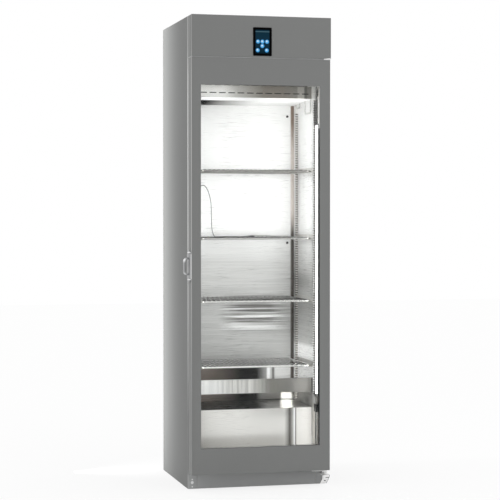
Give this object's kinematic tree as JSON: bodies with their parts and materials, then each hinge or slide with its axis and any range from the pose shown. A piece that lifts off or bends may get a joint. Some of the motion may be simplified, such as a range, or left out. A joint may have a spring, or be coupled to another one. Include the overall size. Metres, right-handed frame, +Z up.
{
  "type": "dry aging cabinet",
  "caption": "Tall upright refrigerator with a glazed hinged door, wire shelves on toothed racks, a slotted air duct and a cooling unit on top.",
  "frame": {"origin": "on the floor, under the middle of the cabinet's body without its door", "axes": "+X to the right as seen from the front, +Y to the back, +Z up; the door faces -Y"},
  "size_m": [0.6283, 0.6195, 1.98],
  "materials": {
    "painted_steel": "satin grey powder coat",
    "polished_steel": "bright polished stainless sheet",
    "brushed_sheet": "brushed stainless sheet",
    "galvanised_steel": "dull zinc-coated sheet",
    "bright_wire": "polished stainless rod",
    "foam": "rigid insulating foam",
    "glass": "clear flat glass",
    "spacer": "dark anodised section",
    "seal": "soft grey profile",
    "diffuser": "white lamp diffuser",
    "black_plastic": "black moulded plastic",
    "display": "glossy black touch panel",
    "zinc": "zinc-plated steel",
    "handle_metal": "satin grey cast metal",
    "black_enamel": "black enamel",
    "fins": "bare aluminium fins"
  },
  "bodies": {
    "cabinet": {"side_panel_left": "painted_steel", "side_panel_right": "painted_steel", "base_pan": "painted_steel", "top_cover": "painted_steel", "fascia": "painted_steel", "liner_left": "polished_steel", "liner_right": "polished_steel", "liner_floor": "polished_steel", "liner_back": "polished_steel", "liner_ceiling": "polished_steel", "back_duct_panel": "polished_steel", "drip_tray": "polished_steel", "air_duct_cover": "brushed_sheet", "air_deflector": "brushed_sheet", "base_cover": "brushed_sheet", "rack_front_left": "brushed_sheet", "rack_front_right": "brushed_sheet", "rack_rear_left": "brushed_sheet", "rack_rear_right": "brushed_sheet", "runner_left_1": "brushed_sheet", "runner_left_2": "brushed_sheet", "runner_left_3": "brushed_sheet", "runner_left_4": "brushed_sheet", "runner_right_1": "brushed_sheet", "runner_right_2": "brushed_sheet", "runner_right_3": "brushed_sheet", "runner_right_4": "brushed_sheet", "back_panel": "galvanised_steel", "machine_deck": "galvanised_steel", "core_probe": "bright_wire", "foam_body": "foam", "evaporator_fan_shroud": "black_plastic", "condenser_fan_frame": "black_plastic", "probe_gland": "black_plastic", "probe_cable": "black_plastic", "probe_boot": "black_plastic", "control_display": "display", "hinge_bracket_bottom": "zinc", "hinge_bracket_top": "zinc", "compressor": "black_enamel", "evaporator_coil": "fins", "condenser_coil": "fins"},
    "door": {"door_skin": "painted_steel", "door_frame": "polished_steel", "glass_outer": "glass", "glass_inner": "glass", "glass_spacer": "spacer", "gasket": "seal", "led_bar_left": "diffuser", "led_bar_right": "diffuser", "led_connector": "black_plastic", "door_handle": "handle_metal", "closer_plate": "zinc"},
    "shelf_1_body": {"shelf_1": "bright_wire"},
    "shelf_2_body": {"shelf_2": "bright_wire"},
    "shelf_3_body": {"shelf_3": "bright_wire"},
    "shelf_4_body": {"shelf_4": "bright_wire"},
    "evaporator_fan_left_body": {"evaporator_fan_left": "black_plastic"},
    "evaporator_fan_right_body": {"evaporator_fan_right": "black_plastic"},
    "condenser_fan_body": {"condenser_fan": "black_plastic"}
  },
  "joints": [
    {"name": "door_hinge", "type": "hinge", "parent": "cabinet", "child": "door", "pos_m": [0.2868, -0.316, 0], "axis": [0, 0, 1], "range_deg": [0, 105]},
    {"name": "shelf_1_slide", "type": "slide", "parent": "cabinet", "child": "shelf_1_body", "axis": [0, -1, 0], "range_m": [0, 0.06]},
    {"name": "shelf_2_slide", "type": "slide", "parent": "cabinet", "child": "shelf_2_body", "axis": [0, -1, 0], "range_m": [0, 0.06]},
    {"name": "shelf_3_slide", "type": "slide", "parent": "cabinet", "child": "shelf_3_body", "axis": [0, -1, 0], "range_m": [0, 0.06]},
    {"name": "shelf_4_slide", "type": "slide", "parent": "cabinet", "child": "shelf_4_body", "axis": [0, -1, 0], "range_m": [0, 0.06]},
    {"name": "evaporator_fan_left_spin", "type": "hinge", "parent": "cabinet", "child": "evaporator_fan_left_body", "pos_m": [-0.12, 0.1048, 1.7046], "axis": [0, 1, 0], "continuous": true},
    {"name": "evaporator_fan_right_spin", "type": "hinge", "parent": "cabinet", "child": "evaporator_fan_right_body", "pos_m": [0.12, 0.1048, 1.7046], "axis": [0, 1, 0], "continuous": true},
    {"name": "condenser_fan_spin", "type": "hinge", "parent": "cabinet", "child": "condenser_fan_body", "pos_m": [0.13, 0.1727, 1.8833], "axis": [0, 1, 0], "continuous": true}
  ]
}
